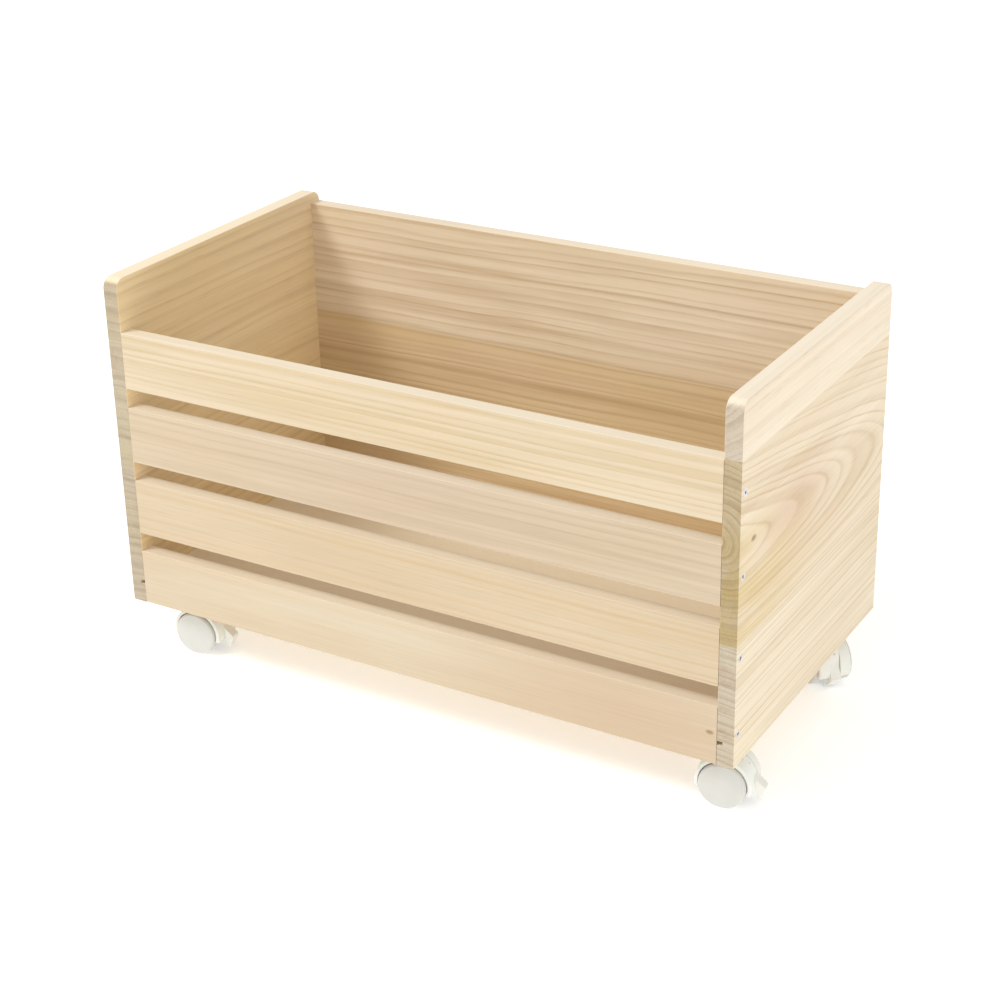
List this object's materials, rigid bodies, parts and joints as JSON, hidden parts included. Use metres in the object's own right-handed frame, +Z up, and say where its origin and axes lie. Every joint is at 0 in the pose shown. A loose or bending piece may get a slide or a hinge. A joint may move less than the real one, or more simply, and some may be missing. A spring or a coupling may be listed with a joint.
{
  "type": "under bed box",
  "caption": "Open wooden storage box with a slatted front, solid back and ends with rounded top corners, rolling on braked twin-wheel swivel casters.",
  "frame": {"origin": "centre of the footprint, on the floor that the casters stand on", "axes": "+X along the length, to the right seen from the slatted front; +Y to the solid back; +Z up"},
  "size_m": [0.6274, 0.302, 0.36],
  "materials": {
    "paulownia": "unfinished pale straight-grained wood, sanded, with eased edges",
    "plywood": "thin plain pale board",
    "batten_wood": "plain sawn softwood",
    "dowel_wood": "turned hardwood",
    "white_nylon": "off-white moulded nylon, satin",
    "zinc_steel": "bright zinc plate"
  },
  "bodies": {
    "box": {"left_end_lower_board": "paulownia", "left_end_middle_board": "paulownia", "left_end_top_board": "paulownia", "right_end_lower_board": "paulownia", "right_end_middle_board": "paulownia", "right_end_top_board": "paulownia", "front_slat_1": "paulownia", "front_slat_2": "paulownia", "front_slat_3": "paulownia", "front_slat_4": "paulownia", "back_lower_board": "paulownia", "back_middle_board": "paulownia", "back_top_board": "paulownia", "bottom_panel": "plywood", "left_caster_batten": "batten_wood", "right_caster_batten": "batten_wood", "slat_screws": "zinc_steel", "batten_screws": "zinc_steel", "caster_plate_screws": "zinc_steel", "back_dowels": "dowel_wood", "front_left_mounting_plate": "zinc_steel", "front_left_kingpin": "zinc_steel", "front_right_mounting_plate": "zinc_steel", "front_right_kingpin": "zinc_steel", "rear_left_mounting_plate": "zinc_steel", "rear_left_kingpin": "zinc_steel", "rear_right_mounting_plate": "zinc_steel", "rear_right_kingpin": "zinc_steel"},
    "front_left_caster": {"front_left_housing": "white_nylon", "front_left_axle": "zinc_steel", "front_left_lever_pin": "zinc_steel"},
    "front_left_left_wheel": {"front_left_left_wheel": "white_nylon"},
    "front_left_right_wheel": {"front_left_right_wheel": "white_nylon"},
    "front_left_brake": {"front_left_brake_lever": "white_nylon"},
    "front_right_caster": {"front_right_housing": "white_nylon", "front_right_axle": "zinc_steel", "front_right_lever_pin": "zinc_steel"},
    "front_right_left_wheel": {"front_right_left_wheel": "white_nylon"},
    "front_right_right_wheel": {"front_right_right_wheel": "white_nylon"},
    "front_right_brake": {"front_right_brake_lever": "white_nylon"},
    "rear_left_caster": {"rear_left_housing": "white_nylon", "rear_left_axle": "zinc_steel", "rear_left_lever_pin": "zinc_steel"},
    "rear_left_left_wheel": {"rear_left_left_wheel": "white_nylon"},
    "rear_left_right_wheel": {"rear_left_right_wheel": "white_nylon"},
    "rear_left_brake": {"rear_left_brake_lever": "white_nylon"},
    "rear_right_caster": {"rear_right_housing": "white_nylon", "rear_right_axle": "zinc_steel", "rear_right_lever_pin": "zinc_steel"},
    "rear_right_left_wheel": {"rear_right_left_wheel": "white_nylon"},
    "rear_right_right_wheel": {"rear_right_right_wheel": "white_nylon"},
    "rear_right_brake": {"rear_right_brake_lever": "white_nylon"}
  },
  "joints": [
    {"name": "front_left_swivel", "type": "hinge", "parent": "box", "child": "front_left_caster", "pos_m": [-0.2635, -0.12, 0.03], "axis": [0, 0, 1], "continuous": true},
    {"name": "front_left_left_spin", "type": "hinge", "parent": "front_left_caster", "child": "front_left_left_wheel", "pos_m": [-0.24607, -0.11847, 0.02], "axis": [-0.0872, 0.9962, 0], "continuous": true},
    {"name": "front_left_right_spin", "type": "hinge", "parent": "front_left_caster", "child": "front_left_right_wheel", "pos_m": [-0.24607, -0.11847, 0.02], "axis": [-0.0872, 0.9962, 0], "continuous": true},
    {"name": "front_left_brake_hinge", "type": "hinge", "parent": "front_left_caster", "child": "front_left_brake", "pos_m": [-0.23097, -0.11715, 0.03061], "axis": [-0.0872, 0.9962, 0], "range_deg": [0, 22]},
    {"name": "front_right_swivel", "type": "hinge", "parent": "box", "child": "front_right_caster", "pos_m": [0.2635, -0.12, 0.03], "axis": [0, 0, 1], "continuous": true},
    {"name": "front_right_left_spin", "type": "hinge", "parent": "front_right_caster", "child": "front_right_left_wheel", "pos_m": [0.28085, -0.11772, 0.02], "axis": [-0.1305, 0.9914, 0], "continuous": true},
    {"name": "front_right_right_spin", "type": "hinge", "parent": "front_right_caster", "child": "front_right_right_wheel", "pos_m": [0.28085, -0.11772, 0.02], "axis": [-0.1305, 0.9914, 0], "continuous": true},
    {"name": "front_right_brake_hinge", "type": "hinge", "parent": "front_right_caster", "child": "front_right_brake", "pos_m": [0.29587, -0.11574, 0.03061], "axis": [-0.1305, 0.9914, 0], "range_deg": [0, 22]},
    {"name": "rear_left_swivel", "type": "hinge", "parent": "box", "child": "rear_left_caster", "pos_m": [-0.2635, 0.107, 0.03], "axis": [0, 0, 1], "continuous": true},
    {"name": "rear_left_left_spin", "type": "hinge", "parent": "rear_left_caster", "child": "rear_left_left_wheel", "pos_m": [-0.28085, 0.10472, 0.02], "axis": [0.1305, -0.9914, 0], "continuous": true},
    {"name": "rear_left_right_spin", "type": "hinge", "parent": "rear_left_caster", "child": "rear_left_right_wheel", "pos_m": [-0.28085, 0.10472, 0.02], "axis": [0.1305, -0.9914, 0], "continuous": true},
    {"name": "rear_left_brake_hinge", "type": "hinge", "parent": "rear_left_caster", "child": "rear_left_brake", "pos_m": [-0.29587, 0.10274, 0.03061], "axis": [0.1305, -0.9914, 0], "range_deg": [0, 22]},
    {"name": "rear_right_swivel", "type": "hinge", "parent": "box", "child": "rear_right_caster", "pos_m": [0.2635, 0.107, 0.03], "axis": [0, 0, 1], "continuous": true},
    {"name": "rear_right_left_spin", "type": "hinge", "parent": "rear_right_caster", "child": "rear_right_left_wheel", "pos_m": [0.27651, 0.09529, 0.02], "axis": [0.6691, 0.7431, 0], "continuous": true},
    {"name": "rear_right_right_spin", "type": "hinge", "parent": "rear_right_caster", "child": "rear_right_right_wheel", "pos_m": [0.27651, 0.09529, 0.02], "axis": [0.6691, 0.7431, 0], "continuous": true},
    {"name": "rear_right_brake_hinge", "type": "hinge", "parent": "rear_right_caster", "child": "rear_right_brake", "pos_m": [0.28777, 0.08515, 0.03061], "axis": [0.6691, 0.7431, 0], "range_deg": [-22, 0]}
  ]
}
